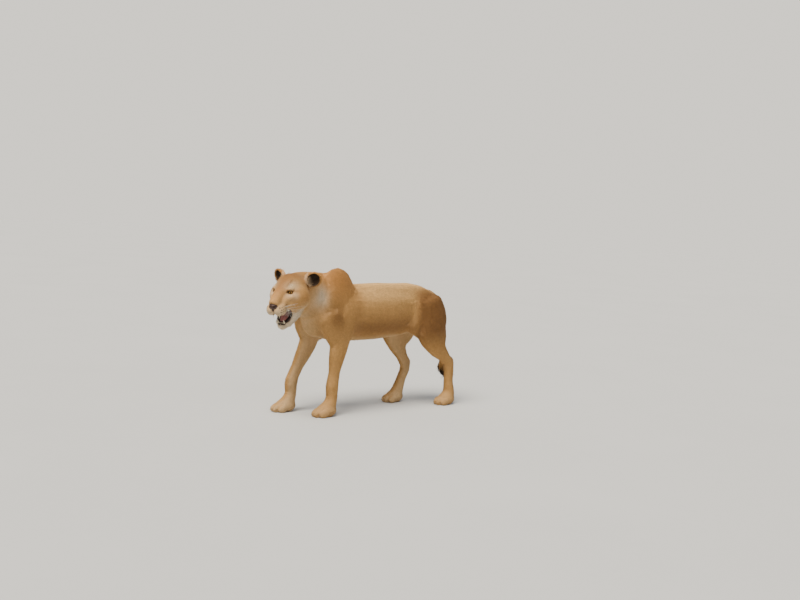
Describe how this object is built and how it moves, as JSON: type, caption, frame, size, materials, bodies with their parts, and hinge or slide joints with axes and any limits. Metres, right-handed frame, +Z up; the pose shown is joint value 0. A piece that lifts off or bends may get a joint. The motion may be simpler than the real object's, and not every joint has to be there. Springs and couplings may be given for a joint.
{
  "type": "lioness model",
  "caption": "Life-size model of a walking lioness with her head turned to her left, mouth open, shoulder blade raised and tail hanging.",
  "frame": {"origin": "on the floor, under the middle of the box round the whole animal", "axes": "+Z up; -Y the way she walks, so the trunk's head end is toward -Y; +X her left side"},
  "size_m": [0.4519, 1.7972, 1.0017],
  "materials": {
    "coat": "short matt fur",
    "dark_hair": "longer dark brown hair",
    "eye": "wet gloss",
    "nose_leather": "bare damp skin",
    "tongue": "moist skin"
  },
  "bodies": {
    "root": {"ear_left": "coat", "ear_right": "coat", "eye_left": "eye", "eye_right": "eye", "foreleg_left": "coat", "foreleg_right": "coat", "forepaw_left": "coat", "forepaw_right": "coat", "head": "coat", "hindleg_left": "coat", "hindleg_right": "coat", "hindpaw_left": "coat", "hindpaw_right": "coat", "lower_jaw": "coat", "neck": "coat", "nose": "nose_leather", "tail": "coat", "tail_tuft": "dark_hair", "tongue": "tongue", "trunk": "coat"}
  },
  "joints": []
}
